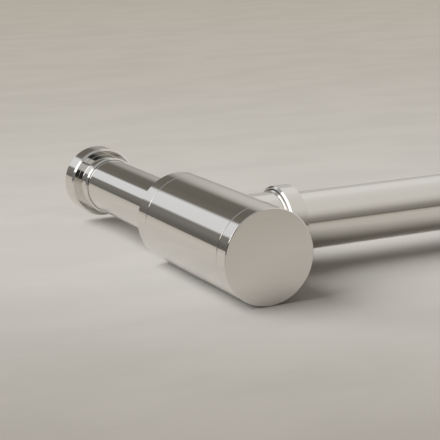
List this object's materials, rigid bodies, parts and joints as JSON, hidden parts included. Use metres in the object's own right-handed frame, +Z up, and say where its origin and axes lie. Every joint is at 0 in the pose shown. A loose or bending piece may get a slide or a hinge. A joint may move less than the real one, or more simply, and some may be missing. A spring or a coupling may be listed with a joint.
{
  "type": "bottle trap",
  "caption": "Round basin bottle trap in polished nickel-plated brass with a union nut on its straight inlet, a side branch with a slim compression nut and a straight outlet pipe.",
  "frame": {"origin": "centre of the inlet's mouth, in the open end of the union nut that screws on to the basin waste", "axes": "+Z up out of the inlet, as installed; +X along the outlet pipe, away from the bottle"},
  "size_m": [0.3312, 0.0624, 0.2815],
  "materials": {
    "polished_nickel": "mirror-polished nickel plate on brass",
    "turned_brass": "turned, bare",
    "moulded_polypropylene": "moulded, satin",
    "black_rubber": "moulded EPDM, matt",
    "nylon": "stamped, natural"
  },
  "bodies": {
    "trap_body": {"bottle_sleeve": "polished_nickel", "base_collar": "turned_brass", "top_collar": "turned_brass", "outlet_branch": "polished_nickel", "dip_tube_gasket": "black_rubber", "dip_tube": "moulded_polypropylene"},
    "inlet_seal": {"inlet_cone_seal": "black_rubber"},
    "inlet_tube": {"inlet_tube": "polished_nickel", "inlet_washer": "black_rubber"},
    "union_ring": {"union_slip_ring": "nylon"},
    "union_nut": {"inlet_union_nut": "polished_nickel"},
    "top_cap_washer": {"inlet_slip_washer": "nylon"},
    "top_cap": {"top_cap": "polished_nickel"},
    "base_cap_seal": {"base_cap_washer": "black_rubber"},
    "base_cap": {"base_cap": "polished_nickel"},
    "outlet_seal": {"outlet_cone_seal": "black_rubber"},
    "outlet_pipe": {"outlet_pipe": "polished_nickel"},
    "outlet_nut_washer": {"outlet_slip_washer": "nylon"},
    "outlet_nut": {"outlet_nut": "polished_nickel"}
  },
  "joints": [
    {"name": "inlet_swivel", "type": "hinge", "parent": "trap_body", "child": "inlet_seal", "pos_m": [0, 0, -0.1754], "axis": [0, 0, 1], "continuous": true},
    {"name": "inlet_height", "type": "slide", "parent": "inlet_seal", "child": "inlet_tube", "axis": [0, 0, 1], "range_m": [-0.04, 0.02]},
    {"name": "union_nut_slide", "type": "slide", "parent": "inlet_tube", "child": "union_ring", "axis": [0, 0, 1], "range_m": [-0.07, 0]},
    {"name": "union_nut_spin", "type": "hinge", "parent": "union_ring", "child": "union_nut", "pos_m": [0, 0, -0.0115], "axis": [0, 0, 1], "continuous": true},
    {"name": "top_cap_travel", "type": "slide", "parent": "trap_body", "child": "top_cap_washer", "axis": [0, 0, 1], "range_m": [0, 0.00601]},
    {"name": "top_cap_turn", "type": "hinge", "parent": "top_cap_washer", "child": "top_cap", "pos_m": [0, 0, -0.1575], "axis": [0, 0, 1], "range_deg": [0, 1440]},
    {"name": "base_cap_travel", "type": "slide", "parent": "trap_body", "child": "base_cap_seal", "axis": [0, 0, -1], "range_m": [0, 0.00801]},
    {"name": "base_cap_turn", "type": "hinge", "parent": "base_cap_seal", "child": "base_cap", "pos_m": [0, 0, -0.2752], "axis": [0, 0, -1], "range_deg": [0, 1440]},
    {"name": "outlet_swivel", "type": "hinge", "parent": "trap_body", "child": "outlet_seal", "pos_m": [0.052, 0, -0.2051], "axis": [1, 0, 0], "continuous": true},
    {"name": "outlet_depth", "type": "slide", "parent": "outlet_seal", "child": "outlet_pipe", "axis": [1, 0, 0], "range_m": [-0.0028, 0.012]},
    {"name": "outlet_nut_travel", "type": "slide", "parent": "trap_body", "child": "outlet_nut_washer", "axis": [1, 0, 0], "range_m": [0, 0.00601]},
    {"name": "outlet_nut_turn", "type": "hinge", "parent": "outlet_nut_washer", "child": "outlet_nut", "pos_m": [0.052, 0, -0.2051], "axis": [1, 0, 0], "range_deg": [0, 1440]}
  ],
  "couplings": [
    {"joint": "top_cap_travel", "follows": "top_cap_turn", "m_per_rad": 0.00023873},
    {"joint": "base_cap_travel", "follows": "base_cap_turn", "m_per_rad": 0.00031831},
    {"joint": "outlet_nut_travel", "follows": "outlet_nut_turn", "m_per_rad": 0.00023873}
  ]
}
